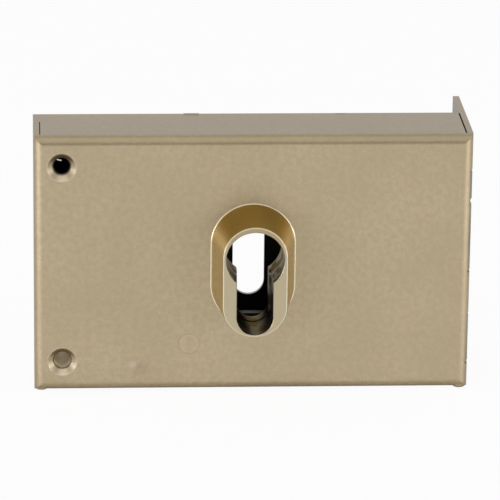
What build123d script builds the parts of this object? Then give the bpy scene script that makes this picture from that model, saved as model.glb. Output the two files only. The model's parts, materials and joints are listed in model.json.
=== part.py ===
from build123d import *
import os

# Surface-mounted box lock for a profile half cylinder, stored with its three bolts
# withdrawn. Millimetres. X runs towards the forend that the bolts leave, Y from the
# room into the door, Z up. The origin is the cylinder's axis at the front plate's outside.

# Case, folded from one sheet and open towards the door
case_length = 140.0
case_height = 85.0
case_depth = 27.0
sheet = 2.0
bend_radius = 3.0  # outside of each fold
backset = 70.0  # cylinder axis to the outside of the forend
axis_rise = 5.5  # cylinder axis above the case's middle
lip_reach = 20.0  # forend past the door face, over the door's edge
seam_gap = 0.3  # slit where the top or bottom flange meets a side flange
short_seam_share = 0.62  # of a flange's depth, where the rest of the seam is closed

# Screw holes that a fitter uses
fixing_inset = 9.0  # from the end of the case
fixing_edge = 10.0  # from the top and the underside
fixing_radius = 2.65
fixing_sink_radius = 4.65
sleeve_wall = 1.85
lip_hole_reach = 11.0  # behind the door face
lip_hole_spacing = 60.0
lip_hole_radius = 2.25
lip_sink_radius = 3.8

# Boss that carries the cylinder
bore_radius = 9.3
lobe_width = 11.6
spigot_lobe_width = 10.2  # the opening closes in where it goes through the plate
spigot_lobe_rise = 0.2
lobe_drop = 24.8  # cylinder axis to the bottom of the opening
boss_projection = 14.0
boss_side_wall = 0.9  # beside the opening, at the boss's face
boss_top_wall = 1.7
boss_bottom_wall = 0.6
boss_flare = 3.5  # how far the base reaches past the face at each side
boss_top_flare = 4.0
boss_rim = 0.8
boss_ledge = 0.4  # flat of the rim round the body
boss_rim_radius = 0.35
boss_edge_radius = 0.3
bore_chamfer = 0.2
spigot_wall = 0.7
spigot_reach = 2.5  # past the inside of the front plate
boss_screw_gap = 0.6  # screw head to spigot
boss_screw_drop = 14.0
boss_screw_radius = 1.25
boss_screw_head_radius = 2.6
boss_screw_head = 2.0
boss_screw_grip = 5.0

# Back cover with its slot for the outer cylinder's tail bar
cover_sheet = 1.5
cover_gap = 0.2
slot_width = 10.3
slot_drop = 24.0
slot_rise = 9.3
tab_width = 5.0
tab_offset = 19.0  # towards the fixing holes from the cylinder axis
tab_proud = 0.15
tab_gap = 0.1
pillar_radius = 3.5
pillar_inset = 5.0  # from the inside of the flange beside it
low_pillar_run = 9.5  # from the fixing holes towards the forend
high_pillar_run = 21.0
forend_pillar_inset = 24.0  # from the outside of the forend
cover_screw_radius = 1.6
cover_screw_head_radius = 3.1
cover_screw_length = 12.0

# Bolts and the plate that carries them
bolt_throw = 20.0
bolt_length = 40.0
bolt_thickness = 14.0
bolt_edge = 0.6
upper_bolt_height = 10.1
bolt_split = 0.8  # slit between the upper and the main bolt
upper_window_margin = 11.8  # top of the case to the upper window
lower_window_margin = 7.9  # underside to the lower window
screw_band = 13.7  # solid forend between the windows, round the cylinder screw
window_front = 0.85  # how far the windows stay behind the front plate's outside
plate_thickness = 3.0
bridge_width = 14.5
arm_gap = 1.7  # cylinder to the upper arm
lower_arm_gap = 2.7  # cylinder's lobe to the lower arm
arm_step = 1.0  # where the upper arm drops to its lands
lower_arm_width = 9.4
slot_wall = 3.5
cam_notch_width = 7.5
cam_notch_offset = 5.25
plate_corner = 1.5
rivet_radius = 2.0
rivet_head_radius = 3.2
rivet_head = 1.0
rivet_grip = 6.0

# Heights over the cylinder, as shares of the room between the upper arm and the top flange
cam_notch_share = 0.21
land_share = 0.27
pivot_share = 0.29
arm_top_share = 0.475
tumbler_top_share = 0.54

# Posts that guide the plate, and their clips
pivot_offset = 27.0
post_offset = 20.3
post_radius = 4.0
neck_radius = 2.4
groove_depth = 0.5
clip_radius = 4.4
clip_thickness = 0.8
clip_mouth = 3.0
neck_tail = 1.2

# Tumbler that drops into the lands and locks the bolts
tumbler_thickness = 3.0
tumbler_depth = 10.0  # top edge to lower edge
belly_depth = 11.5
nose_depth = 8.0
belly_width = 14.0
eye_radius = 5.5
tumbler_corner = 1.0
tumbler_back_gap = 0.5  # tumbler to bolt plate
stump_radius = 2.0
stump_neck_radius = 1.4
stump_inset = 4.0  # from the back end of the bolts
tumbler_end_gap = 1.0
notch_depth = 3.0
notch_side_gap = 0.5

# Tumbler spring and its seat under the top flange
spring_offset = 2.0
spring_radius = 2.5  # centre line of the coil
wire_radius = 0.4
spring_turns = 6
spring_gap = 0.2
peg_radius = 1.0
peg_height = 2.5
seat_radius = 3.4
seat_thickness = 1.5
seat_peg_radius = 1.5
seat_peg_height = 2.0

# Forend: guide plate, its rivets and the screw that holds the cylinder
guide_thickness = 3.0
guide_rivet_radius = 1.25
guide_rivet_head_radius = 2.0
cylinder_screw_drop = 16.0
cylinder_screw_depth = 13.5
cylinder_screw_radius = 2.5
cylinder_screw_head_radius = 4.4
cylinder_screw_tip = 8.0  # from the cylinder axis
driver_width = 0.9
driver_depth = 0.8

# Clearances
running_gap = 0.3  # between pieces that move past each other
seat_gap = 0.05  # round a pin, screw or spigot in its hole
overrun = 1.0  # how far a cut runs past what it cuts

# Places that follow from the sizes
right = backset
left = backset - case_length
bottom = -case_height / 2 - axis_rise
top = case_height / 2 - axis_rise
middle_x = (left + right) / 2
middle_z = (bottom + top) / 2
cover_front = case_depth - cover_sheet
seams = [
    (left + sheet, bend_radius + short_seam_share * (case_depth - bend_radius)),
    (right - sheet - seam_gap, case_depth + overrun),
]
fixing_x = left + fixing_inset
fixing_spots = [(fixing_x, bottom + fixing_edge), (fixing_x, top - fixing_edge)]
pillar_spots = [
    (fixing_x + low_pillar_run, bottom + sheet + pillar_inset),
    (fixing_x + high_pillar_run, top - sheet - pillar_inset),
    (right - forend_pillar_inset, top - sheet - pillar_inset),
]
boss_face_width = 2 * (bore_radius + boss_side_wall)
boss_face_length = bore_radius + boss_top_wall + lobe_drop + boss_bottom_wall
boss_centre = bore_radius + boss_top_wall - boss_face_length / 2
boss_base_width = boss_face_width + 2 * boss_flare
boss_base_length = boss_face_length + boss_top_flare + boss_ledge
boss_base_centre = boss_centre + (boss_top_flare - boss_ledge) / 2
boss_body_spread = 2 * boss_ledge
boss_screw_reach = lobe_width / 2 + spigot_wall + boss_screw_gap + boss_screw_head_radius
boss_screw_spots = [(side * boss_screw_reach, -boss_screw_drop) for side in (-1, 1)]
bolt_front = sheet + running_gap
bolt_back = bolt_front + bolt_thickness
bolt_rear = right - bolt_length
plate_back = bolt_back + plate_thickness
windows = [
    (-cylinder_screw_drop + screw_band / 2, top - upper_window_margin),
    (bottom + lower_window_margin, -cylinder_screw_drop - screw_band / 2),
]
main_bolt_bottom = windows[0][0] + running_gap
bolt_top = windows[0][1] - running_gap
upper_bolt_bottom = bolt_top - upper_bolt_height
main_bolt_height = upper_bolt_bottom - bolt_split - main_bolt_bottom
lower_bolt_bottom = windows[1][0] + running_gap
lower_bolt_height = windows[1][1] - running_gap - lower_bolt_bottom
arm_bottom = bore_radius + arm_gap
room_over_arm = top - sheet - arm_bottom
cam_notch_top = arm_bottom + cam_notch_share * room_over_arm
land_top = arm_bottom + land_share * room_over_arm
pivot_rise = arm_bottom + pivot_share * room_over_arm
arm_top = arm_bottom + arm_top_share * room_over_arm
tumbler_top = arm_bottom + tumbler_top_share * room_over_arm
post_drop = lobe_drop + lower_arm_gap + lower_arm_width / 2
rivet_x = bolt_rear + bridge_width / 2
rivet_spots = [
    (rivet_x, upper_bolt_bottom + upper_bolt_height / 2),
    (rivet_x, main_bolt_bottom + main_bolt_height / 4),
    (rivet_x, main_bolt_bottom + main_bolt_height * 3 / 4),
    (rivet_x, lower_bolt_bottom + lower_bolt_height / 4),
    (rivet_x, lower_bolt_bottom + lower_bolt_height * 3 / 4),
]
tumbler_back = bolt_back - tumbler_back_gap
tumbler_front = tumbler_back - tumbler_thickness
stump_x = bolt_rear - stump_inset
stump_z = land_top + running_gap + stump_radius
spring_y = tumbler_front + tumbler_thickness / 2
seat_bottom = top - sheet - seat_thickness
clip_front = plate_back + running_gap
guide_back = cover_front - running_gap
guide_rivet_spots = [
    (bolt_back - bolt_thickness / 2, (top - sheet + windows[0][1]) / 2),
    (bolt_back - bolt_thickness / 2, (bottom + sheet + windows[1][0]) / 2),
]
lip_hole_y = case_depth + lip_hole_reach
forend_face = Plane.YZ.offset(right)
door_face = Plane(origin=(0, case_depth, 0), x_dir=(-1, 0, 0), z_dir=(0, 1, 0))


def at_depth(depth):
    """Plane across the lock at a depth. What is extruded from it comes towards the room."""
    return Plane.XZ.offset(-depth)


def box_between(low, high, mode=Mode.ADD):
    """Block between two corners."""
    size = [b - a for a, b in zip(low, high)]
    with Locations(tuple((a + b) / 2 for a, b in zip(low, high))):
        Box(*size, mode=mode)


def cylinder_opening(grow, width=lobe_width, drop=lobe_drop):
    """Outline of the profile cylinder: a circle on the axis with a round-ended lobe below."""
    half = width / 2 + grow
    lobe_centre = drop - width / 2
    Circle(bore_radius + grow)
    with Locations((0, -lobe_centre / 2)):
        Rectangle(2 * half, lobe_centre)
    with Locations((0, -lobe_centre)):
        Circle(half)


def upright_slot(x, low, high, width, mode=Mode.ADD):
    """Round-ended upright slot from one height to another."""
    with Locations((x, (low + high) / 2)):
        SlotOverall(high - low, width, rotation=90, mode=mode)


def level_slot(post_x, z):
    """Guide slot that lets the plate run the bolts' throw past a post."""
    reach = neck_radius + running_gap
    with Locations((post_x - bolt_throw / 2, z)):
        SlotOverall(bolt_throw + 2 * reach, 2 * reach, mode=Mode.SUBTRACT)


def sunk_screws(face, spots, shank_radius, head_radius, length):
    """Countersunk slotted screws with their heads flush in a face, one at each spot."""
    with BuildPart() as screws:
        with Locations(face):
            with Locations(*spots):
                Cylinder(shank_radius, length, align=(Align.CENTER, Align.CENTER, Align.MAX))
                Cone(
                    shank_radius,
                    head_radius,
                    head_radius - shank_radius,
                    align=(Align.CENTER, Align.CENTER, Align.MAX),
                )
                Box(
                    2 * head_radius + overrun,
                    driver_width,
                    driver_depth,
                    align=(Align.CENTER, Align.CENTER, Align.MAX),
                    mode=Mode.SUBTRACT,
                )
    return screws


def stepped_post(x, z, shoulder):
    """Post riveted to the front plate: a thick foot up to a shoulder, then a grooved neck."""
    neck_end = clip_front + clip_thickness + neck_tail
    with BuildPart() as post:
        with BuildSketch(at_depth(shoulder)):
            with Locations((x, z)):
                Circle(post_radius)
        extrude(amount=shoulder - sheet)
        with BuildSketch(at_depth(neck_end)):
            with Locations((x, z)):
                Circle(neck_radius)
        extrude(amount=neck_end - shoulder)
        with BuildSketch(at_depth(clip_front + clip_thickness)):
            with Locations((x, z)):
                Circle(neck_radius)
                Circle(neck_radius - groove_depth, mode=Mode.SUBTRACT)
        extrude(amount=clip_thickness, mode=Mode.SUBTRACT)
        chamfer(post.faces().sort_by(Axis.Y)[-1].edges(), groove_depth / 2)
    return post


def bolt(low, height, spots):
    """One bolt with eased edges at its nose and blind holes for its rivets."""
    with BuildPart() as piece:
        with BuildSketch(at_depth(bolt_back)):
            with Locations((right - bolt_length / 2, low + height / 2)):
                Rectangle(bolt_length, height)
        extrude(amount=bolt_thickness)
        chamfer(piece.faces().sort_by(Axis.X)[-1].edges(), bolt_edge)
        with BuildSketch(at_depth(bolt_back)):
            with Locations(*spots):
                Circle(rivet_radius + seat_gap)
        extrude(amount=rivet_grip, mode=Mode.SUBTRACT)
    return piece


# Case: front plate, four flanges, the forend with its lip, and every opening
with BuildPart() as case:
    with BuildSketch(at_depth(case_depth)):
        with Locations((middle_x, middle_z)):
            Rectangle(case_length, case_height)
    extrude(amount=case_depth)
    fillet(case.faces().sort_by(Axis.Y)[0].edges(), bend_radius)
    offset(amount=-sheet, openings=case.faces().sort_by(Axis.Y)[-1])
    box_between(
        (right - sheet, case_depth, bottom),
        (right, case_depth + lip_reach, top),
    )
    for x, seam_end in seams:
        for z in (bottom - overrun, top - sheet - overrun):
            box_between(
                (x, bend_radius, z),
                (x + seam_gap, seam_end, z + sheet + 2 * overrun),
                mode=Mode.SUBTRACT,
            )
    box_between(
        (-tab_offset - tab_width / 2 - tab_gap, cover_front - tab_gap, top - sheet - overrun),
        (-tab_offset + tab_width / 2 + tab_gap, case_depth + overrun, top + overrun),
        mode=Mode.SUBTRACT,
    )
    for low, high in windows:
        box_between(
            (right - bend_radius, window_front, low),
            (right + overrun, bolt_back + running_gap, high),
            mode=Mode.SUBTRACT,
        )
    with BuildSketch(at_depth(sheet + overrun)):
        cylinder_opening(spigot_wall + seat_gap)
        with Locations(*boss_screw_spots):
            Circle(boss_screw_radius + seat_gap)
    extrude(amount=sheet + 2 * overrun, mode=Mode.SUBTRACT)
    with Locations(at_depth(0)):
        with Locations(*fixing_spots):
            CounterSinkHole(fixing_radius, fixing_sink_radius, sheet + overrun, 90)
    with Locations(forend_face):
        with Locations((cylinder_screw_depth, -cylinder_screw_drop)):
            CounterSinkHole(
                cylinder_screw_radius + running_gap,
                cylinder_screw_head_radius + seat_gap,
                sheet + overrun,
                90,
            )
        with Locations((lip_hole_y, middle_z)):
            with GridLocations(sheet, lip_hole_spacing, 1, 2):
                CounterSinkHole(lip_hole_radius, lip_sink_radius, sheet + overrun, 90)
        with Locations(*guide_rivet_spots):
            CounterSinkHole(
                guide_rivet_radius + seat_gap,
                guide_rivet_head_radius + seat_gap,
                sheet + overrun,
                90,
            )

# Boss: thin rim on the plate, a body that tapers above and beside but stands upright
# below, and a spigot through the plate
with BuildPart() as cylinder_boss:
    with BuildSketch(at_depth(0)):
        with Locations((0, boss_base_centre)):
            SlotOverall(boss_base_length, boss_base_width, rotation=90)
    extrude(amount=boss_rim)
    fillet(cylinder_boss.faces().sort_by(Axis.Y)[0].edges(), boss_rim_radius)
    with BuildSketch(at_depth(-boss_rim)):
        with Locations((0, boss_base_centre)):
            SlotOverall(
                boss_base_length - boss_body_spread,
                boss_base_width - boss_body_spread,
                rotation=90,
            )
    with BuildSketch(at_depth(-boss_projection)):
        with Locations((0, boss_centre)):
            SlotOverall(boss_face_length, boss_face_width, rotation=90)
    loft()
    fillet(cylinder_boss.faces().sort_by(Axis.Y)[0].edges(), boss_edge_radius)
    with BuildSketch(at_depth(sheet + spigot_reach)):
        cylinder_opening(spigot_wall)
    extrude(amount=sheet + spigot_reach)
    with BuildSketch(at_depth(sheet + spigot_reach + overrun)):
        cylinder_opening(0, spigot_lobe_width, lobe_drop - spigot_lobe_rise)
    extrude(amount=sheet + spigot_reach + 2 * overrun, mode=Mode.SUBTRACT)
    with BuildSketch(at_depth(0)):
        cylinder_opening(0)
    extrude(amount=boss_projection + overrun, mode=Mode.SUBTRACT)
    mouth = cylinder_boss.faces().sort_by(Axis.Y)[0]
    chamfer(mouth.inner_wires().edges(), bore_chamfer)
    with BuildSketch(at_depth(0)):
        with Locations(*boss_screw_spots):
            Circle(boss_screw_radius)
    extrude(amount=boss_screw_grip + running_gap, mode=Mode.SUBTRACT)

# Boss screws, driven from inside the case
with BuildPart() as boss_screws:
    with BuildSketch(at_depth(sheet)):
        with Locations(*boss_screw_spots):
            Circle(boss_screw_radius - seat_gap)
    extrude(amount=sheet + boss_screw_grip)
    with BuildSketch(at_depth(sheet + boss_screw_head)):
        with Locations(*boss_screw_spots):
            Circle(boss_screw_head_radius)
    extrude(amount=boss_screw_head)
    with BuildSketch(at_depth(sheet + boss_screw_head)):
        with Locations(*boss_screw_spots):
            Rectangle(2 * boss_screw_head_radius + overrun, driver_width)
    extrude(amount=driver_depth, mode=Mode.SUBTRACT)

# Back cover, let in between the flanges, with the tab that hooks into the top flange
with BuildPart() as back_cover:
    with BuildSketch(at_depth(case_depth)):
        with Locations((middle_x, middle_z)):
            Rectangle(
                case_length - 2 * (sheet + cover_gap),
                case_height - 2 * (sheet + cover_gap),
            )
        with Locations((-tab_offset, top - sheet)):
            Rectangle(tab_width, sheet + tab_proud, align=(Align.CENTER, Align.MIN))
            Rectangle(tab_width, pillar_inset, align=(Align.CENTER, Align.MAX))
        upright_slot(0, -slot_drop, slot_rise, slot_width, mode=Mode.SUBTRACT)
        with Locations(*fixing_spots):
            Circle(fixing_radius, mode=Mode.SUBTRACT)
    extrude(amount=cover_sheet)
    with Locations(door_face):
        with Locations(*[(-x, z) for x, z in pillar_spots]):
            CounterSinkHole(
                cover_screw_radius + running_gap,
                cover_screw_head_radius + seat_gap,
                cover_sheet + overrun,
                90,
            )

# Pillars between the front plate and the cover
with BuildPart() as cover_pillars:
    with BuildSketch(at_depth(cover_front)):
        with Locations(*pillar_spots):
            Circle(pillar_radius)
    extrude(amount=cover_front - sheet)
    with BuildSketch(at_depth(cover_front)):
        with Locations(*pillar_spots):
            Circle(cover_screw_radius + seat_gap)
    extrude(amount=cover_screw_length, mode=Mode.SUBTRACT)

cover_screws = sunk_screws(
    door_face,
    [(-x, z) for x, z in pillar_spots],
    cover_screw_radius,
    cover_screw_head_radius,
    cover_screw_length,
)

# Sleeves that keep the case from being crushed by the long fixing screws
with BuildPart() as fixing_sleeves:
    with BuildSketch(at_depth(cover_front)):
        with Locations(*fixing_spots):
            Circle(fixing_radius + sleeve_wall)
            Circle(fixing_radius, mode=Mode.SUBTRACT)
    extrude(amount=cover_front - sheet)

upper_bolt = bolt(upper_bolt_bottom, upper_bolt_height, rivet_spots[:1])
main_bolt = bolt(main_bolt_bottom, main_bolt_height, rivet_spots[1:3])
lower_bolt = bolt(lower_bolt_bottom, lower_bolt_height, rivet_spots[3:])

# Bolt plate: a bridge behind the bolts and an arm above and below the cylinder
with BuildPart() as bolt_plate:
    with BuildSketch(at_depth(plate_back)) as plate_outline:
        arm_left = -pivot_offset - bolt_throw - neck_radius - running_gap - slot_wall
        lower_arm_left = arm_left + pivot_offset - post_offset
        with Locations((bolt_rear, lower_bolt_bottom)):
            Rectangle(bridge_width, bolt_top - lower_bolt_bottom, align=Align.MIN)
        with Locations((arm_left, arm_bottom)):
            Rectangle(arm_step - arm_left, arm_top - arm_bottom, align=Align.MIN)
            Rectangle(bolt_rear - arm_left, land_top - arm_bottom, align=Align.MIN)
        with Locations((lower_arm_left, -post_drop - lower_arm_width / 2)):
            Rectangle(bolt_rear - lower_arm_left, lower_arm_width, align=Align.MIN)
        fillet(plate_outline.vertices().group_by(Axis.X)[0], plate_corner)
        fillet(plate_outline.vertices().group_by(Axis.X)[-1], plate_corner)
        level_slot(-pivot_offset, pivot_rise)
        level_slot(-post_offset, -post_drop)
        for step in range(3):
            notch_x = stump_x - step * bolt_throw / 2
            with Locations((notch_x, land_top - notch_depth)):
                Rectangle(
                    2 * (stump_radius + notch_side_gap),
                    notch_depth + overrun,
                    align=(Align.CENTER, Align.MIN),
                    mode=Mode.SUBTRACT,
                )
        for step in range(2):
            with Locations((-cam_notch_offset - step * bolt_throw / 2, cam_notch_top)):
                Rectangle(
                    cam_notch_width,
                    cam_notch_top - arm_bottom + overrun,
                    align=(Align.CENTER, Align.MAX),
                    mode=Mode.SUBTRACT,
                )
        with Locations(*rivet_spots):
            Circle(rivet_radius + seat_gap, mode=Mode.SUBTRACT)
    extrude(amount=plate_thickness)

# Rivets that hold the bolts on their plate
with BuildPart() as bolt_rivets:
    with BuildSketch(at_depth(plate_back)):
        with Locations(*rivet_spots):
            Circle(rivet_radius)
    extrude(amount=plate_thickness + rivet_grip - seat_gap)
    with BuildSketch(at_depth(plate_back + rivet_head)):
        with Locations(*rivet_spots):
            Circle(rivet_head_radius)
    extrude(amount=rivet_head)
    chamfer(bolt_rivets.faces().group_by(Axis.Y)[-1].edges(), rivet_head / 2)

guide_post = stepped_post(-post_offset, -post_drop, bolt_back - running_gap)
tumbler_pivot = stepped_post(-pivot_offset, pivot_rise, tumbler_front - running_gap)

# Open clips in the posts' grooves
with BuildPart() as retaining_clips:
    with BuildSketch(at_depth(clip_front + clip_thickness)):
        for x, z in ((-post_offset, -post_drop), (-pivot_offset, pivot_rise)):
            with Locations((x, z)):
                Circle(clip_radius)
                Circle(neck_radius - groove_depth + seat_gap, mode=Mode.SUBTRACT)
                Rectangle(
                    clip_mouth, clip_radius + overrun, align=(Align.CENTER, Align.MAX), mode=Mode.SUBTRACT
                )
    extrude(amount=clip_thickness)

# Tumbler: an eye on the pivot, a belly that the cam lifts and a nose with the stump
with BuildPart() as tumbler:
    with BuildSketch(at_depth(tumbler_back)) as tumbler_outline:
        nose_x = bolt_rear - tumbler_end_gap
        half_belly = belly_width / 2
        belly_bottom = tumbler_top - belly_depth
        rise = belly_depth - nose_depth
        with BuildLine():
            Polyline(
                (-pivot_offset, tumbler_top),
                (nose_x, tumbler_top),
                (nose_x, tumbler_top - nose_depth),
                (half_belly + rise, tumbler_top - nose_depth),
                (half_belly, belly_bottom),
                (-half_belly, belly_bottom),
                (-half_belly - rise, tumbler_top - tumbler_depth),
                (-pivot_offset, tumbler_top - tumbler_depth),
                close=True,
            )
        make_face()
        fillet(tumbler_outline.vertices().group_by(Axis.X)[-1], tumbler_corner)
        with Locations((-pivot_offset, pivot_rise)):
            Circle(eye_radius)
            Circle(neck_radius + seat_gap, mode=Mode.SUBTRACT)
        with Locations((stump_x, stump_z)):
            Circle(stump_neck_radius + seat_gap, mode=Mode.SUBTRACT)
    extrude(amount=tumbler_thickness)
    with Locations((-spring_offset, spring_y, tumbler_top)):
        Cylinder(peg_radius, peg_height, align=(Align.CENTER, Align.CENTER, Align.MIN))

# Stump riveted in the tumbler's nose
with BuildPart() as tumbler_stump:
    with BuildSketch(at_depth(plate_back + running_gap)):
        with Locations((stump_x, stump_z)):
            Circle(stump_radius)
    extrude(amount=plate_back + running_gap - tumbler_back)
    with BuildSketch(at_depth(tumbler_back)):
        with Locations((stump_x, stump_z)):
            Circle(stump_neck_radius)
    extrude(amount=tumbler_thickness)

# Compression spring on the tumbler's peg
with BuildPart() as tumbler_spring:
    spring_low = tumbler_top + spring_gap + wire_radius
    spring_high = seat_bottom - spring_gap - wire_radius
    with BuildLine() as coil:
        Helix(
            (spring_high - spring_low) / spring_turns,
            spring_high - spring_low,
            spring_radius,
            center=(-spring_offset, spring_y, spring_low),
        )
    with BuildSketch(Plane(origin=coil.line @ 0, z_dir=coil.line % 0)):
        Circle(wire_radius)
    sweep(path=coil.line, is_frenet=True)
print("gap between spring turns", round((spring_high - spring_low) / spring_turns - 2 * wire_radius, 2))

# Seat welded under the top flange, with a peg inside the spring
with BuildPart() as spring_seat:
    with Locations((-spring_offset, spring_y, top - sheet)):
        Cylinder(seat_radius, seat_thickness, align=(Align.CENTER, Align.CENTER, Align.MAX))
        Cylinder(
            seat_peg_radius,
            seat_thickness + seat_peg_height,
            align=(Align.CENTER, Align.CENTER, Align.MAX),
        )

# Guide plate behind the forend, a comb that the bolts slide in
with BuildPart() as forend_guide:
    box_between(
        (right - sheet - guide_thickness, bend_radius, bottom + sheet + running_gap),
        (right - sheet, guide_back, top - sheet - running_gap),
    )
    for low, high in windows:
        box_between(
            (right - sheet - guide_thickness - overrun, 0, low),
            (right, bolt_back + running_gap, high),
            mode=Mode.SUBTRACT,
        )
    with Locations(forend_face.offset(-sheet)):
        with Locations((cylinder_screw_depth, -cylinder_screw_drop)):
            Hole(cylinder_screw_radius + running_gap, guide_thickness + overrun)
        with Locations(*guide_rivet_spots):
            Hole(guide_rivet_radius + seat_gap, guide_thickness + overrun)

# Flush rivets through the forend and its guide
with BuildPart() as guide_rivets:
    with Locations(forend_face):
        with Locations(*guide_rivet_spots):
            Cylinder(
                guide_rivet_radius,
                sheet + guide_thickness,
                align=(Align.CENTER, Align.CENTER, Align.MAX),
            )
            Cone(
                guide_rivet_radius,
                guide_rivet_head_radius,
                guide_rivet_head_radius - guide_rivet_radius,
                align=(Align.CENTER, Align.CENTER, Align.MAX),
            )

cylinder_screw = sunk_screws(
    forend_face,
    [(cylinder_screw_depth, -cylinder_screw_drop)],
    cylinder_screw_radius,
    cylinder_screw_head_radius,
    right - cylinder_screw_tip,
)

pieces = {
    "case": case,
    "cylinder_boss": cylinder_boss,
    "boss_screws": boss_screws,
    "back_cover": back_cover,
    "cover_pillars": cover_pillars,
    "cover_screws": cover_screws,
    "fixing_sleeves": fixing_sleeves,
    "upper_bolt": upper_bolt,
    "main_bolt": main_bolt,
    "lower_bolt": lower_bolt,
    "bolt_plate": bolt_plate,
    "bolt_rivets": bolt_rivets,
    "guide_post": guide_post,
    "tumbler_pivot": tumbler_pivot,
    "retaining_clips": retaining_clips,
    "tumbler": tumbler,
    "tumbler_stump": tumbler_stump,
    "tumbler_spring": tumbler_spring,
    "spring_seat": spring_seat,
    "forend_guide": forend_guide,
    "guide_rivets": guide_rivets,
    "cylinder_screw": cylinder_screw,
}
os.makedirs("parts", exist_ok=True)
for name, piece in pieces.items():
    piece.part.label = name
    export_step(piece.part, f"parts/{name}.step")
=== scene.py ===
"""Rim box lock in champagne lacquer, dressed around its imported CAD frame.

Metres. X runs towards the forend, Y from the room into the door, Z up.
"""

import json
from math import cos, radians, sin

import bpy
import numpy as np
from mathutils import Matrix, Vector


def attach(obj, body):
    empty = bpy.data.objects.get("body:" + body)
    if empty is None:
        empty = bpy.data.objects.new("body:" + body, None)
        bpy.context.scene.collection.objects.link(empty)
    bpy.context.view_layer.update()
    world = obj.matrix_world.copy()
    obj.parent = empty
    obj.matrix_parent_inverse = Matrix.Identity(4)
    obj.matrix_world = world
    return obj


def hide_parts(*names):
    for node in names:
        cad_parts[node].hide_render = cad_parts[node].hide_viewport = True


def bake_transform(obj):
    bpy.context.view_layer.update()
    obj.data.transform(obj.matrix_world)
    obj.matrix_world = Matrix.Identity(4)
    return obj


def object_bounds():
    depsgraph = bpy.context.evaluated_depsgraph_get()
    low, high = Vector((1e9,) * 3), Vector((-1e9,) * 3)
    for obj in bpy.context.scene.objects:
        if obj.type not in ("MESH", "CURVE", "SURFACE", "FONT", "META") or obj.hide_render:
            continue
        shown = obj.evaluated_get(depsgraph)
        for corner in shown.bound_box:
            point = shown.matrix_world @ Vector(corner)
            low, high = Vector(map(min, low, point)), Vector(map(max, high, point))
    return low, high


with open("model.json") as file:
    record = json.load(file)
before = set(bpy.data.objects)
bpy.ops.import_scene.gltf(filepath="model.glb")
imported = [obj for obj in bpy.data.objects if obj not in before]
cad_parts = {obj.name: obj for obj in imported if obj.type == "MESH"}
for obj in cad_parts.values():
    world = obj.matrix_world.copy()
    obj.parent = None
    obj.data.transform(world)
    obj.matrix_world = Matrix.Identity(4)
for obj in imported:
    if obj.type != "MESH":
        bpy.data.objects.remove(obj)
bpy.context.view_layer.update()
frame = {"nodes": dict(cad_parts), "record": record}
nodes = frame["nodes"]
scene = bpy.context.scene
MM = 0.001

# Places of the Mix node's sockets for colours
mix_factor, mix_first, mix_second = 0, 6, 7
mix_result = 2


# Shader sockets that can be added, multiplied and compared like numbers
class Socket:
    """One output socket of a material's nodes, with arithmetic as Math nodes."""

    def __init__(self, tree, output):
        self.tree = tree
        self.output = output

    def math(self, operation, *others):
        return self.tree.node("ShaderNodeMath", {"operation": operation}, (self, *others))

    def __add__(self, other):
        return self.math("ADD", other)

    def __radd__(self, other):
        return self.math("ADD", other)

    def __sub__(self, other):
        return self.math("SUBTRACT", other)

    def __rsub__(self, other):
        return self.tree.number(other).math("SUBTRACT", self)

    def __mul__(self, other):
        return self.math("MULTIPLY", other)

    def __rmul__(self, other):
        return self.math("MULTIPLY", other)

    def __truediv__(self, other):
        return self.math("DIVIDE", other)

    def __gt__(self, other):
        return self.math("GREATER_THAN", other)

    def __lt__(self, other):
        return self.math("LESS_THAN", other)

    def __pow__(self, other):
        return self.math("POWER", other)

    def __abs__(self):
        return self.math("ABSOLUTE")

    def either(self, other):
        """The larger of two masks, so on where one or the other is."""
        return self.math("MAXIMUM", other)

    def held(self, low, high):
        """The value itself, held between two ends."""
        return self.math("MAXIMUM", low).math("MINIMUM", high)

    def smooth(self, low, high):
        """Rise from 0 at low to 1 at high along an S curve."""
        return self.tree.node(
            "ShaderNodeMapRange",
            {"interpolation_type": "SMOOTHSTEP"},
            {"Value": self, "From Min": low, "From Max": high},
        )


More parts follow.
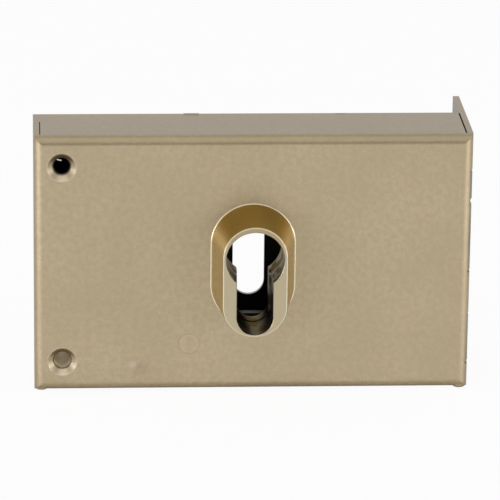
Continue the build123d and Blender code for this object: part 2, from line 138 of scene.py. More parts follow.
class Tree:
    """The nodes of one material or world, made by type with their settings and inputs."""

    def __init__(self, node_tree):
        self.nodes = node_tree.nodes
        self.links = node_tree.links
        self.nodes.clear()

    def feed(self, socket, value):
        if isinstance(value, Socket):
            self.links.new(value.output, socket)
        else:
            socket.default_value = value

    def node(self, kind, settings=None, inputs=(), output=0):
        """Add a node, set it up, feed its inputs by order or by name, return one output."""
        made = self.nodes.new(kind)
        for name, value in (settings or {}).items():
            setattr(made, name, value)
        pairs = inputs.items() if isinstance(inputs, dict) else enumerate(inputs)
        for key, value in pairs:
            self.feed(made.inputs[key], value)
        return Socket(self, made.outputs[output])

    def number(self, value):
        made = self.node("ShaderNodeValue")
        made.output.default_value = value
        return made

    def here(self):
        """Object coordinates of a point, in metres."""
        return self.node("ShaderNodeTexCoord", output="Object")

    def parts(self, vector):
        """The three parts of a vector, as sockets of their own."""
        return [self.node("ShaderNodeSeparateXYZ", {}, (vector,), axis) for axis in range(3)]

    def drawn(self, stretch):
        """Object coordinates times a stretch, so that a small share draws a pattern out."""
        inputs = (self.here(), stretch)
        return self.node("ShaderNodeVectorMath", {"operation": "MULTIPLY"}, inputs)

    def noise(self, where, scale, detail=2.0, roughness=0.5):
        inputs = {"Vector": where, "Scale": scale, "Detail": detail, "Roughness": roughness}
        return self.node("ShaderNodeTexNoise", {}, inputs)

    def mix(self, factor, first, second):
        """Mix two colours, by a factor that may vary over the surface."""
        first, second = ((*c, 1.0) if isinstance(c, tuple) else c for c in (first, second))
        inputs = {mix_factor: factor, mix_first: first, mix_second: second}
        return self.node("ShaderNodeMix", {"data_type": "RGBA"}, inputs, mix_result)

    def coats(self, tone, *layers):
        """Lay colours over a tone in order, each given as its mask, its share and itself."""
        for mask, share, colour in layers:
            tone = self.mix(mask * share, tone, colour)
        return tone

    def relief(self, height, strength, reach):
        """Fine relief, in which a height of one stands out by a reach in metres."""
        inputs = {"Strength": strength, "Distance": reach, "Height": height}
        return self.node("ShaderNodeBump", {}, inputs)

    def show(self, shader, kind="ShaderNodeOutputMaterial"):
        """Connect a shader to the output of the material or world."""
        self.links.new(shader.output, self.nodes.new(kind).inputs[0])

    def surface(self, settings, **varying):
        """Principled surface: plain settings on its sockets, then what varies over it."""
        named = {name.replace("_", " "): value for name, value in varying.items()}
        self.show(self.node("ShaderNodeBsdfPrincipled", {}, {**settings, **named}))


def new_material(name):
    material = bpy.data.materials.new(name)
    material.use_nodes = True
    return material, Tree(material.node_tree)


def distance(across, up, centre):
    """Distance of a point from a spot on the plate: root of the squared offsets' sum."""
    dx = across - centre[0]
    dz = up - centre[1]
    return (dx * dx + dz * dz) ** 0.5


def slot_distance(across, up, ends):
    """Distance of a point from an upright line: its height is first held between the ends."""
    dz = up - up.held(*ends)
    return (across * across + dz * dz) ** 0.5


def ring(reach, radius, width):
    """One on a circle of a radius, falling to zero over a width at both sides."""
    return 1.0 - abs(reach - radius).smooth(0.0, width)


# The case's faces, measured from the cylinder's axis and from the front plate
cylinder_axis = (0.0, 0.0)
hair = 0.01 * MM
sheet = 2.0 * MM
end_wall = 68.0 * MM
top_outside = 37.0 * MM
ceiling = 35.0 * MM
inner_floor = -46.0 * MM
underside = -48.0 * MM
door_face = 27.0 * MM

# The open seams at the corners, where the case's flanges meet
seam_width = 0.3 * MM
seam_start = 3.0 * MM
wide_seam = (end_wall - 0.4 * MM, end_wall + 0.1 * MM)

# The sinks of the two fixing holes
fixing_spots = ((-61.0 * MM, 27.0 * MM), (-61.0 * MM, -38.0 * MM))
sink_radius = 4.65 * MM
sink_edge_width = 0.35 * MM
# Depths and heights of the painted shade at the sinks' feet and in their upper halves
sink_foot_shade_depths = (1.45 * MM, 1.75 * MM)
sink_top_shade_heights = (0.6 * MM, 2.6 * MM)
sink_top_shade_depth = 0.5 * MM

# Marks in the front plate's finish, from what is fixed behind it
front_depths = (0.2 * MM, 1.0 * MM)
post_mark = (-20.3 * MM, -32.2 * MM)
post_mark_radius = 3.4 * MM
post_mark_width = 0.45 * MM
post_halo_radius = 2.8 * MM
post_halo_width = 0.4 * MM
pillar_mark = (-35.6 * MM, -40.6 * MM)
pillar_mark_reach = (0.5 * MM, 3.6 * MM)
pillar_spot = (-38.2 * MM, -39.2 * MM)
pillar_spot_reach = (0.4 * MM, 1.8 * MM)

# The dent at the back edge of the top flange
dent_spot = (29.4 * MM, door_face)
dent_half = (2.2 * MM, 1.9 * MM)
dent_edge = (0.6, 1.2)
dent_low = 34.0 * MM

# The bend between the front plate and the top flange
bend_heights = (34.9 * MM, 35.6 * MM)
bend_start_depths = (0.02 * MM, 0.3 * MM)
bend_end_depths = (1.7 * MM, 2.0 * MM)

# The cylinder boss and its opening
boss_face_depth = -14.0 * MM
boss_face_ends = (-15.2 * MM, 0.8 * MM)
boss_face_half = 10.2 * MM
boss_base_ends = (-12.1 * MM, 1.3 * MM)
boss_base_half = 13.7 * MM
boss_rim_depths = (-0.85 * MM, -0.75 * MM)
bore_radius = 9.3 * MM
lobe_half = 5.8 * MM
lobe_ends = (-19.0 * MM, 0.0)
opening_margin = 0.03 * MM
# Shares of height to distance from the axis over which painted shade darkens the boss's top
boss_shaded_top_step = (0.12, 0.75)
overspray_depths = (-13.8 * MM, -3.0 * MM)
# Depths of the painted highlight at the spigot's far end, and the height below which painted
# shade dims the opening's walls
spigot_highlight_depths = (3.90 * MM, 4.05 * MM)
shaded_below = -9.0 * MM

# The back cover
cover_front = 25.5 * MM
cover_top = 34.85 * MM
# Ring of painted shade round each flush screw head
cover_ring_shade_radius = 3.2 * MM
cover_ring_shade_width = 0.45 * MM
cover_screw_spots = (
    (-51.5 * MM, -41.0 * MM),
    (-40.0 * MM, 30.0 * MM),
    (46.0 * MM, 30.0 * MM),
)

# The painted glint on the upper fixing sleeve
glint_depths = (16.6 * MM, 18.0 * MM)
glint_side = -60.9 * MM

# Scales of the patterns, in grains to a metre
flake_scale = 2400.0
mottle_scale = 520.0
peel_scale = 330.0
cloud_scale = 38.0
boss_cloud_scale = 110.0
wall_tool_scale = 900.0
wall_patch_scale = 190.0
streak_scale = 1100.0
rub_scale = 260.0
crystal_scale = 420.0
plating_cloud_scale = 95.0
lathe_scale = 1500.0

# Ends of the patterns' soft steps
cloud_step = (0.3, 0.7)
mottle_step = (0.35, 0.65)
flake_step = (0.55, 0.8)
bare_step = (0.47, 0.53)
dusted_step = (0.44, 0.50)
rub_step = (0.56, 0.72)
crystal_step = (0.2, 0.9)

# Lacquer colours on the sheet, with painted light and shade among them
champagne_low = (0.452, 0.359, 0.222)
champagne_high = (0.493, 0.395, 0.248)
champagne_mottle = (0.405, 0.325, 0.202)
champagne_flake = (0.620, 0.540, 0.400)
# Sinks: worn edges that are also a painted highlight, painted light in the cones, painted
# shade at the feet and in the upper halves
sink_edge_wear_highlight = (0.640, 0.570, 0.440)
sink_cone_light = (0.720, 0.620, 0.460)
sink_foot_shade = (0.070, 0.050, 0.028)
sink_top_shade = (0.150, 0.095, 0.035)
mark_brown = (0.330, 0.235, 0.150)
mark_pale = (0.600, 0.530, 0.400)
dent_shade = (0.150, 0.125, 0.065)
bend_shade = (0.352, 0.278, 0.168)
# Painted reflection: the top face paler, as at a grazing look
top_reflection_pale = (0.455, 0.380, 0.270)
# Painted shade on the lip's inside face
lip_inside_shade = (0.200, 0.200, 0.147)
# Painted shade: the inside faces nearly black
inside_shade_black = (0.030, 0.029, 0.028)
# Painted shade in the open corner seams and along the wider ones beside the forend
seam_shade = (0.026, 0.014, 0.006)

# Lacquer colours on the boss, and the metal of its opening's walls, with painted shade,
# highlights and reflections among them
boss_pale = ((0.590, 0.520, 0.345), (0.630, 0.560, 0.380))
# Painted shade on the boss's top slope
boss_top_shade = ((0.326, 0.206, 0.048), (0.352, 0.228, 0.058))
boss_flake = (0.560, 0.430, 0.220)
boss_face = (0.470, 0.392, 0.258)
# Painted highlight on the boss's rim and face edges
boss_edge_highlight = (0.820, 0.760, 0.600)
boss_shine = (0.850, 0.700, 0.460, 1.0)
# Opening's walls: dark as painted shade, bare patches painted bright also as reflections, a
# painted highlight on the spigot's end
wall_shaded_metal = ((0.018, 0.016, 0.013), (0.062, 0.056, 0.043))
wall_bare_reflection = (0.480, 0.490, 0.480)
wall_overspray = (0.060, 0.028, 0.009)
spigot_end_highlight = (0.620, 0.620, 0.580)

# Colours on the cover and the sleeves, with painted shade, painted light and a painted glint
# among them
# Painted shade on the cover's face inside the case
cover_inside_shade = (0.025, 0.024, 0.022)
# Painted shade in rings round the cover's screw heads
screw_ring_shade = (0.050, 0.046, 0.040)
tab_lacquer = (0.430, 0.358, 0.240)
# Painted light: the lower sleeve light grey
sleeve_lit_grey = ((0.900, 0.820, 0.660), (0.970, 0.890, 0.720))
# Painted shade: the upper sleeve black
sleeve_shade_black = ((0.006, 0.006, 0.007), (0.014, 0.014, 0.015))
# Painted glint on the upper sleeve
sleeve_glint = (0.960, 0.950, 0.930)


def sink_coats(across, depth, up, front):
    """The sinks' worn edges, also lighter as a painted highlight, painted light in the cones,
    and painted shade at their feet and in their upper halves.
    """
    reaches = [distance(across, up, spot) for spot in fixing_spots]
    edges = [ring(reach, sink_radius, sink_edge_width) for reach in reaches]
    coats = [(edges[0].either(edges[1]) * front, 0.55, sink_edge_wear_highlight)]
    for reach, spot in zip(reaches, fixing_spots):
        cone = (reach < sink_radius) * (depth > 2.0 * hair) * (depth < sheet)
        cone_top_shade = (up - spot[1]).smooth(*sink_top_shade_heights) * (depth > sink_top_shade_depth)
        # Painted light in each cone, and painted shade at its foot and in its upper half
        coats += [
            (cone, 0.4, sink_cone_light),
            (cone * depth.smooth(*sink_foot_shade_depths), 0.85, sink_foot_shade),
            (cone * cone_top_shade, 0.9, sink_top_shade),
        ]
    return coats


def dent_mask(across, depth, up):
    """An ellipse on the top flange: the sum of the two squared shares of its half sizes."""
    dent_across = (across - dent_spot[0]) / dent_half[0]
    dent_depth = (depth - dent_spot[1]) / dent_half[1]
    off = (dent_across * dent_across + dent_depth * dent_depth).smooth(*dent_edge)
    return (1.0 - off) * (up > dent_low)


def inside_mask(side, depth, up):
    """The room that the case's walls enclose, whose faces have no lacquer and get painted
    shade, nearly black.
    """
    behind_plate = depth.smooth(sheet - 0.1 * MM, sheet - hair)
    between_ends = 1.0 - side.smooth(end_wall - hair, end_wall + hair)
    between_flanges = (up < ceiling - hair) * (up > inner_floor + hair)
    return behind_plate * between_ends * between_flanges * (depth < door_face)


def seam_mask(across, side, depth, up):
    """The walls of the open corner seams, and of the wider ones beside the forend, which get
    painted shade.
    """
    narrow = (side > end_wall - seam_width - hair) * (side < end_wall + hair)
    narrow = narrow * (up < top_outside - 2.0 * hair) * (up > underside + 2.0 * hair)
    wide = (across > wide_seam[0]) * (across < wide_seam[1])
    return narrow.either(wide) * (depth > seam_start - 0.1 * MM) * (depth < door_face)


def lacquer():
    """Champagne metallic lacquer on sheet steel, bare on the inside, with painted shade
    there, nearly black.

    Tone is a slow noise between two champagne colours, with a finer mottle and metal flake
    over it. Two pieces fixed behind the plate show as a faint ring and a faint blur. The top
    bend is darker and duller as painted shade, the top face paler as a painted reflection,
    and the lip's inside greyer as painted shade. The inside and the open corner seams are
    found from limits on the coordinates, and painted dark as shade.
    """
    material, tree = new_material("lacquer")
    where = tree.here()
    across, depth, up = tree.parts(where)
    side = abs(across)
    flake = tree.noise(where, flake_scale, 1.0)
    mottle = tree.noise(where, mottle_scale, 2.0, 0.6)
    cloud = tree.noise(where, cloud_scale, 3.0)
    peel = tree.noise(where, peel_scale)

    front = 1.0 - depth.smooth(*front_depths)
    post_reach = distance(across, up, post_mark)
    mark = ring(post_reach, post_mark_radius, post_mark_width) * front
    blur = 1.0 - distance(across, up, pillar_mark).smooth(*pillar_mark_reach)
    blur = blur * front * mottle
    halo = ring(post_reach, post_halo_radius, post_halo_width) * 0.6
    spot = 1.0 - distance(across, up, pillar_spot).smooth(*pillar_spot_reach)
    top_bend = up.smooth(*bend_heights) * depth.smooth(*bend_start_depths)
    top_bend = top_bend * (1.0 - depth.smooth(*bend_end_depths))
    lip_inside = (depth > door_face + 0.05 * MM) * (across < end_wall + 0.05 * MM)
    seam = seam_mask(across, side, depth, up)
    inside = inside_mask(side, depth, up).either(seam)

    colour = tree.coats(
        tree.mix(cloud.smooth(*cloud_step), champagne_low, champagne_high),
        (mottle.smooth(*mottle_step), 0.55, champagne_mottle),
        (flake.smooth(*flake_step), 0.45, champagne_flake),
        *sink_coats(across, depth, up, front),
        (mark * 0.30 + blur * 0.75, 1.0, mark_brown),
        (spot.either(halo) * front, 0.35, mark_pale),
        (dent_mask(across, depth, up), 0.75, dent_shade),
        (top_bend, 0.45, bend_shade),
        # Painted reflection on the top face, and painted shade inside the lip, the case and
        # the seams
        (up > top_outside - 0.05 * MM, 0.4, top_reflection_pale),
        (lip_inside, 0.6, lip_inside_shade),
        (inside, 1.0, inside_shade_black),
        (seam, 1.0, seam_shade),
    )
    height = flake * 0.25 + mottle * 0.25 + peel * 0.5 - mark * 1.2 - blur
    tree.surface(
        {"Coat Roughness": 0.22},
        Base_Color=colour,
        Coat_Weight=(0.5 - top_bend * 0.35) * (1.0 - inside),
        Metallic=0.75 - inside * 0.75 + seam * 0.7,
        Roughness=0.33 + flake * 0.08 + mottle * 0.06 + inside * 0.5 + top_bend * 0.14,
        Normal=tree.relief(height, 0.12, 0.2 * MM),
    )
    return material


def opening_walls(tree, where, depth, up, tool):
    """Scored metal, dark as painted shade, bare in patches painted bright also as
    reflections, brown with overspray near the mouth.

    The spigot's far end has a painted highlight, and low in the opening painted shade leaves
    less of the bright patches and of the highlight.
    """
    patch = tree.noise(where, wall_patch_scale)
    # Painted shade low in the opening: less of the bright patches and of the spigot's
    # highlight
    shown = 0.9 - (up < shaded_below) * 0.7
    near_mouth = 1.0 - depth.smooth(*overspray_depths)
    return tree.coats(
        tree.mix(tool, *wall_shaded_metal),
        (patch.smooth(*bare_step), shown, wall_bare_reflection),
        (near_mouth, 1.0 - patch.smooth(*dusted_step), wall_overspray),
        (depth.smooth(*spigot_highlight_depths), shown, spigot_end_highlight),
    )


def boss_lacquer():
    """The same lacquer over a die casting: glossier and more golden, with painted highlights
    on its edges.

    Above the opening it takes a deeper tone as painted shade, where a point's height is a
    large share of its distance from the cylinder's axis. The edge highlights are found by
    distance from the upright lines that the boss's outlines stand off from.
    """
    material, tree = new_material("boss_lacquer")
    where = tree.here()
    across, depth, up = tree.parts(where)
    flake = tree.noise(where, flake_scale, 1.0)
    cloud = tree.noise(where, boss_cloud_scale)
    tool = tree.noise(tree.drawn((1, 0.08, 1)), wall_tool_scale)

    axis_reach = distance(across, up, cylinder_axis)
    # Painted shade: a deeper tone above the opening
    boss_shaded_top = (up / axis_reach).smooth(*boss_shaded_top_step)
    base_reach = slot_distance(across, up, boss_base_ends)
    # Painted highlights along the rim and the face's edge
    rim_highlight = base_reach.smooth(boss_base_half - 0.42 * MM, boss_base_half - 0.30 * MM)
    rim_highlight = rim_highlight * depth.smooth(*boss_rim_depths) * (depth < 0.0)
    near_face = 1.0 - depth.smooth(boss_face_depth + 0.05 * MM, boss_face_depth + 0.35 * MM)
    face_reach = slot_distance(across, up, boss_face_ends)
    face_edge_highlight = face_reach.smooth(boss_face_half - 0.4 * MM, boss_face_half - 0.2 * MM)
    in_bore = axis_reach < bore_radius + opening_margin
    in_lobe = slot_distance(across, up, lobe_ends) < lobe_half + opening_margin
    opening = in_bore.either(in_lobe)

    shade = cloud.smooth(*cloud_step)
    colour = tree.coats(
        tree.mix(boss_shaded_top, tree.mix(shade, *boss_pale), tree.mix(shade, *boss_top_shade)),
        (flake.smooth(*flake_step), 0.10, boss_flake),
        (near_face, 0.8, boss_face),
        (rim_highlight.either(face_edge_highlight * near_face * 0.7), 0.9, boss_edge_highlight),
        (opening, 1.0, opening_walls(tree, where, depth, up, tool)),
    )
    tree.surface(
        {"Coat Roughness": 0.12, "Specular Tint": boss_shine, "Metallic": 0.92},
        Base_Color=colour,
        Coat_Weight=(0.25 - boss_shaded_top * 0.15) * (1.0 - opening),
        Roughness=0.24 + boss_shaded_top * 0.30 + cloud * 0.04 + opening * 0.08 + near_face * 0.10,
        Normal=tree.relief(cloud * 0.5 + tool * opening, 0.02, 0.05 * MM),
    )
    return material


def plating(tree, bright, dark, grain, rough):
    """Colour, roughness and relief of plated steel.

    Tone is a crystal pattern over slow clouds and over streaks drawn along one direction,
    with paler rubbed streaks on top.
    """
    where = tree.here()
    drawn = tree.drawn(grain)
    streak = tree.noise(drawn, streak_scale, 3.0, 0.6)
    rub = tree.noise(drawn, rub_scale, 4.0, 0.7).smooth(*rub_step)
    cloud = tree.noise(where, plating_cloud_scale, 3.0)
    crystal_inputs = {"Vector": where, "Scale": crystal_scale}
    crystals = tree.node("ShaderNodeTexVoronoi", {}, crystal_inputs)
    colour = tree.coats(
        tree.mix(cloud.smooth(*cloud_step) * 0.6 + streak * 0.4, dark, bright),
        (crystals.smooth(*crystal_step), 0.18, dark),
        (rub, 0.3, tuple(1.15 * channel for channel in bright)),
    )
    return colour, rough + streak * 0.12 - rub * 0.06, tree.relief(streak, 0.14, 0.1 * MM)


def plated_steel(name, *look):
    """Plated metal that looks the same all over a piece."""
    material, tree = new_material(name)
    colour, roughness, relief = plating(tree, *look)
    tree.surface({"Metallic": 1.0}, Base_Color=colour, Roughness=roughness, Normal=relief)
    return material


def shaded_cover(*look):
    """The cover's zinc sheet, painted dark as shade, rougher and less metallic where it looks
    into the case.

    Rings of painted shade lie round the screw heads, and the tab in the top flange is
    lacquered.
    """
    material, tree = new_material("shaded_cover")
    across, depth, up = tree.parts(tree.here())
    colour, roughness, relief = plating(tree, *look)
    # Painted shade on the face that looks into the case
    shaded_inside = 1.0 - depth.smooth(cover_front + 0.05 * MM, cover_front + 0.15 * MM)
    painted = up > cover_top
    reaches = [distance(across, up, spot) for spot in cover_screw_spots]
    # Painted shade in a ring round each screw head
    ring_shades = [ring(reach, cover_ring_shade_radius, cover_ring_shade_width) for reach in reaches]
    colour = tree.coats(
        colour,
        (shaded_inside, 1.0, cover_inside_shade),
        *((mask, 0.85, screw_ring_shade) for mask in ring_shades),
        (painted, 1.0, tab_lacquer),
    )
    tree.surface(
        {},
        Base_Color=colour,
        Roughness=roughness + shaded_inside * 0.25,
        Metallic=1.0 - shaded_inside * 0.7 - painted * 0.3,
        Normal=relief,
    )
    return material


def sleeve_steel():
    """Turned tube with lathe lines round it, the upper sleeve painted black as shade, the
    lower one painted light grey as lit.

    The two tones meet at the height of the cylinder's axis, between the sleeves, and the
    upper one has a painted glint in one place.
    """
    material, tree = new_material("sleeve_steel")
    across, depth, up = tree.parts(tree.here())
    lathe = tree.noise(tree.drawn((0.1, 1, 0.1)), lathe_scale)
    # Painted light on the lower sleeve, painted shade on the upper one
    upper = up > 0.0
    # Painted glint: a bright streak low in the upper sleeve
    glint_streak = (depth > glint_depths[0]) * (depth < glint_depths[1])
    glint_streak = glint_streak * upper * (across < glint_side)
    black = tree.mix(glint_streak, tree.mix(lathe, *sleeve_shade_black), sleeve_glint)
    tree.surface(
        {"Specular IOR Level": 0.0},
        Base_Color=tree.mix(upper, tree.mix(lathe, *sleeve_lit_grey), black),
        Metallic=0.6 - upper * 0.6 + glint_streak,
        Roughness=0.40 + lathe * 0.12 - glint_streak * 0.25,
        Normal=tree.relief(lathe, 0.2, 0.1 * MM),
    )
    return material


# Bright tone, dark tone, stretch of the grain and roughness of each metal
zinc_sheet = ((0.56, 0.56, 0.54), (0.36, 0.37, 0.37), (0.06, 1, 1), 0.34)
zinc = ((0.66, 0.63, 0.55), (0.46, 0.43, 0.36), (1, 0.3, 1), 0.30)
bolt_steel = ((0.44, 0.39, 0.30), (0.28, 0.25, 0.19), (1, 1, 0.05), 0.30)
spring_steel = ((0.24, 0.24, 0.25), (0.12, 0.12, 0.13), (1, 1, 1), 0.35)
brass = ((0.66, 0.48, 0.20), (0.42, 0.28, 0.10), (1, 1, 1), 0.28)
# The bolt plate's steel: greased, and darker as painted shade
greased_shaded_steel = ((0.22, 0.21, 0.17), (0.13, 0.125, 0.10), (0.06, 1, 1), 0.40)

finishes = {
    "lacquer": lacquer(),
    "boss_lacquer": boss_lacquer(),
    "zinc_sheet": plated_steel("zinc_sheet", *zinc_sheet),
    "zinc": plated_steel("zinc", *zinc),
    "bolt_steel": plated_steel("bolt_steel", *bolt_steel),
    "spring_steel": plated_steel("spring_steel", *spring_steel),
    "brass": plated_steel("brass", *brass),
}
own_finishes = {
    "back_cover": shaded_cover(*zinc_sheet),
    "bolt_plate": plated_steel("greased_shaded_plate", *greased_shaded_steel),
    "fixing_sleeves": sleeve_steel(),
}
node_slots = {part["node"]: part["material_slot"] for part in frame["record"]["subparts"]}
for name, piece in nodes.items():
    piece.data.materials.clear()
    piece.data.materials.append(own_finishes.get(name, finishes[node_slots[name]]))


def place_object(name, data):
    """Object for a mesh, a lamp or a camera, linked into the scene."""
    made = bpy.data.objects.new(name, data)
    scene.collection.objects.link(made)
    return made


def tube_faces(rings, around, base):
    """Faces of a closed tube of rings, each a row of points, with a face over both ends.

    The rings turn the opposite way to a screw that moves along the tube, so that the faces
    point outwards. The tube's points are counted from a base.
    """
    station, corner = np.meshgrid(np.arange(rings - 1), np.arange(around), indexing="ij")
    first = base + station * around + corner
    second = base + station * around + (corner + 1) % around
    quads = np.stack([first, first + around, second + around, second], axis=-1)
    start_cap = base + np.arange(around)
    end_cap = start_cap[::-1] + (rings - 1) * around
    return [*quads.reshape(-1, 4).tolist(), start_cap.tolist(), end_cap.tolist()]


def add_piece(name, tubes, finish, smooth):
    """New piece made of closed tubes, each an array of rings by points by coordinates."""
    verts, faces = [], []
    for tube in tubes:
        rings, around, _ = tube.shape
        faces += tube_faces(rings, around, len(verts))
        verts += tube.reshape(-1, 3).tolist()
    mesh = bpy.data.meshes.new(name)
    mesh.from_pydata(verts, [], faces)
    mesh.validate()
    if smooth:
        mesh.shade_smooth()
    mesh.materials.append(finishes[finish])
    piece = place_object(name, mesh)
    return piece


# Lacquer that ran into the case's corner seams and dried there. Each run has the side of
# the case, the outside of the flange, which way that faces, and where the seam ends
bead_depth = 0.25 * MM
bead_thickness = 0.9 * MM
bead_sag = 0.08 * MM
bead_wave = 0.05 * MM
bead_wave_rate = 900.0
bead_rings = 25
bead_points = 7
closed_seam_end = 17.9 * MM
full_seam_end = 26.6 * MM
bead_runs = (
    (-1, top_outside, 1, closed_seam_end),
    (1, top_outside, 1, full_seam_end),
    (-1, underside, -1, closed_seam_end),
    (1, underside, -1, full_seam_end),
)


def seam_bead(side, face, outward, end):
    """One bead, lofted from one profile between a seam's two ends.

    Across the seam its top sags by 1 - (2 * way - 1)^2 of the full sag, and along it the top
    rises and falls by a small sine of the place.
    """
    run = np.linspace(seam_start + 2.0 * hair, end, bead_rings)
    way = np.linspace(0.0, 1.0, bead_points)
    sag = bead_sag * (1.0 - (2.0 * way - 1.0) ** 2)
    wave = bead_wave * np.sin(run * bead_wave_rate)
    top = face - outward * (bead_depth + sag[None, :] + wave[:, None])
    low = np.full_like(top, face - outward * bead_thickness)
    across = side * (end_wall - seam_width * way)
    ring_up = np.concatenate([top, low], axis=1)
    ring_across = np.broadcast_to(np.concatenate([across, across[::-1]]), ring_up.shape)
    ring_depth = np.broadcast_to(run[:, None], ring_up.shape)
    bead = np.stack([ring_across, ring_depth, ring_up], axis=-1)
    return bead if side * outward > 0 else bead[:, ::-1]


seam_beads = add_piece("seam_beads", [seam_bead(*run) for run in bead_runs], "lacquer", False)
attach(seam_beads, "case")

# Metal pressed out where the case's folds meet: centre, half sizes
swells = (
    ((-67.7 * MM, 3.4 * MM, -47.2 * MM), (2.1 * MM, 2.5 * MM, 1.15 * MM)),
    ((67.5 * MM, 3.4 * MM, -47.2 * MM), (2.3 * MM, 2.5 * MM, 1.45 * MM)),
)
swell_fullness = 0.8
swell_rings = 14
swell_points = 24


def corner_swell(centre, half):
    """Low swelling on a corner of the case, a rounded block with soft shoulders.

    Every coordinate is the half size times a cosine or sine raised to a power below one,
    with its sign kept, so the form is fuller than an egg.
    """
    rise = np.linspace(-0.5, 0.5, swell_rings + 2)[1:-1] * np.pi
    turn = np.linspace(0.0, -2.0, swell_points, endpoint=False) * np.pi
    rise, turn = np.meshgrid(rise, turn, indexing="ij")
    shares = (np.cos(rise), np.sin(rise), np.cos(turn), np.sin(turn))
    level, lift, ahead, aside = (np.sign(s) * np.abs(s) ** swell_fullness for s in shares)
    form = np.stack([level * ahead, level * aside, lift], axis=-1)
    return np.array(centre) + np.array(half) * form


swell_forms = [corner_swell(*swell) for swell in swells]
corner_swells = add_piece("corner_swells", swell_forms, "lacquer", True)
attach(corner_swells, "case")

# Coil spring between the tumbler and its seat
coil_centre = (-2.0 * MM, 14.3 * MM)
coil_radius = 2.5 * MM
coil_wire = 0.4 * MM
coil_low = 24.56 * MM
coil_high = 32.9 * MM
coil_turns = 6.0
coil_closed_turns = 0.75
coil_ease = 0.5
coil_rings = 360
coil_points = 12


def spring_wire():
    """Compression spring with closed end turns, a round wire carried along a helix.

    The helix is centre + radius * (cos a, sin a), and its height adds up a rise per turn
    that is one wire in the end turns and eases to a wider one between them. Each ring of
    the wire lies in the plane of the outward direction and the one square to the path.
    """
    turn = np.linspace(0.0, 1.0, coil_rings) * coil_turns
    from_end = np.minimum(turn, coil_turns - turn)
    ease = np.clip((from_end - coil_closed_turns) / coil_ease + 0.5, 0.0, 1.0)
    ease = ease * ease * (3.0 - 2.0 * ease)
    closed = 2.0 * coil_wire
    step = coil_turns / (coil_rings - 1)
    open_share = np.sum(ease[1:]) * step
    opened = (coil_high - coil_low - closed * (coil_turns - open_share)) / open_share
    rise = closed + (opened - closed) * ease
    height = coil_low + (np.cumsum(rise) - rise[0]) * step

    angle = 2.0 * np.pi * turn
    level = np.zeros(coil_rings)
    outward = np.column_stack([np.cos(angle), np.sin(angle), level])
    climb = rise / (2.0 * np.pi * coil_radius)
    along = np.column_stack([-np.sin(angle), np.cos(angle), climb])
    along /= np.linalg.norm(along, axis=1)[:, None]
    upright = np.cross(outward, along)
    centre = np.column_stack([level + coil_centre[0], level + coil_centre[1], height])

    section = np.linspace(0.0, 2.0 * np.pi, coil_points, endpoint=False)[None, :, None]
    return (
        (centre + coil_radius * outward)[:, None, :]
        + coil_wire * np.cos(section) * outward[:, None, :]
        + coil_wire * np.sin(section) * upright[:, None, :]
    )


tumbler_coil = add_piece("tumbler_coil", [spring_wire()], "spring_steel", True)
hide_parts("tumbler_spring")
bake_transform(tumbler_coil)

# Floor: white to the camera and in reflections, with the lock's shadow left on it
floor_white = 0.94
floor_clear_depths = (-8.0 * MM, 0.0)
floor_half = 4.0


def stage_material():
    """Matte white mixed with plain white light, by the kind of ray that meets the floor.

    A reflection shows the light only in front of the lock, and the matte floor under it.
    """
    material, tree = new_material("stage_white")
    camera_ray, glossy_ray, through_ray = (
        tree.node("ShaderNodeLightPath", output=f"Is {kind} Ray")
        for kind in ("Camera", "Glossy", "Transmission")
    )
    depth = tree.parts(tree.node("ShaderNodeNewGeometry"))[1]
    clear = 1.0 - depth.smooth(*floor_clear_depths)
    seen = camera_ray.either(glossy_ray * clear).either(through_ray)
    matte = tree.node("ShaderNodeBsdfDiffuse", {}, {"Color": (0.8, 0.8, 0.8, 1)})
    white = tree.node("ShaderNodeEmission", {}, {"Color": (1, 1, 1, 1), "Strength": 1.0})
    tree.show(tree.node("ShaderNodeMixShader", {}, (seen * floor_white, matte, white)))
    return material


floor_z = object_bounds()[0][2]
floor_sides = ((-1, -1), (1, -1), (1, 1), (-1, 1))
floor_corners = [(x * floor_half, y * floor_half, floor_z) for x, y in floor_sides]
floor_mesh = bpy.data.meshes.new("floor")
floor_mesh.from_pydata(floor_corners, [], [(0, 1, 2, 3)])
floor_mesh.materials.append(stage_material())
floor = place_object("floor", floor_mesh)

# World: even to the camera. Elsewhere bright behind the lock, dark at eye level in front
seen_level = 0.974
eye_level = 0.09
overhead = 0.46
overhead_step = (0.25, 0.65)
beside = 0.48
beside_step = (0.3, 0.8)
behind = 0.62
behind_step = (-0.1, 0.5)

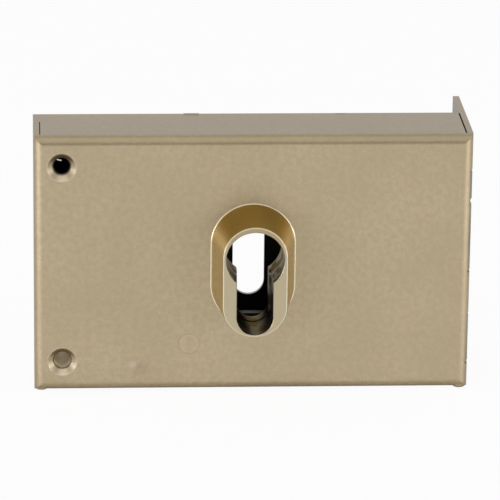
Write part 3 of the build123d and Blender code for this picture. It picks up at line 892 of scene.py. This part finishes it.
world = bpy.data.worlds.new("studio")
scene.world = world
world.use_nodes = True
sky = Tree(world.node_tree)
direction = sky.node("ShaderNodeTexCoord", output="Generated")
sideways, towards_door, upwards = sky.parts(direction)
front_level = eye_level + upwards.smooth(*overhead_step) * (overhead - eye_level)
front_level = front_level.either(abs(sideways).smooth(*beside_step) * beside)
studio = front_level + (behind - front_level) * towards_door.smooth(*behind_step)
seen_directly = sky.node("ShaderNodeLightPath", output="Is Camera Ray")
level = studio + seen_directly * (seen_level - studio)
backdrop = sky.node("ShaderNodeBackground", {}, {"Color": (1, 1, 1, 1), "Strength": level})
sky.show(backdrop, "ShaderNodeOutputWorld")

# Softboxes that face the lock: place, width, height and power
softboxes = {
    "high_softbox": ((-0.15, -0.5, 1.27), 1.5, 1.3, 5.5),
    "left_softbox": ((-1.15, -0.75, 0.02), 0.9, 0.5, 12.5),
    "right_softbox": ((1.15, -0.75, 0.02), 0.9, 0.5, 11.5),
}
for name, (spot, width, height, power) in softboxes.items():
    lamp = bpy.data.lights.new(name, "AREA")
    lamp.shape = "RECTANGLE"
    lamp.size = width
    lamp.size_y = height
    lamp.energy = power
    facing = (-Vector(spot)).to_track_quat("-Z", "Y").to_matrix().to_4x4()
    place_object(name, lamp).matrix_world = Matrix.Translation(spot) @ facing

# Camera at the photograph's viewing angle
view_azimuth = radians(3.38)
view_elevation = radians(17.67)
view_roll = radians(0.68)
view_distance = 1.25
view_target = Vector((-0.00100, 0.0, -0.00072))
nearest_seen = 0.05
sensor_width = 36.0
focal_pixels = 3913.0
photo_width = 500

sight = Vector((
    sin(view_azimuth) * cos(view_elevation),
    cos(view_azimuth) * cos(view_elevation),
    -sin(view_elevation),
))
across = Vector((cos(view_azimuth), -sin(view_azimuth), 0.0))
upright = across.cross(sight)
rolled_across = across * cos(view_roll) + upright * sin(view_roll)
rolled_upright = upright * cos(view_roll) - across * sin(view_roll)
camera_data = bpy.data.cameras.new("camera")
camera_data.sensor_width = sensor_width
camera_data.lens = sensor_width * focal_pixels / photo_width
camera_data.clip_start = nearest_seen
camera = place_object("camera", camera_data)
turned = Matrix((rolled_across, rolled_upright, -sight)).transposed().to_4x4()
camera.matrix_world = Matrix.Translation(view_target - sight * view_distance) @ turned
scene.camera = camera
scene.view_settings.view_transform = "Standard"
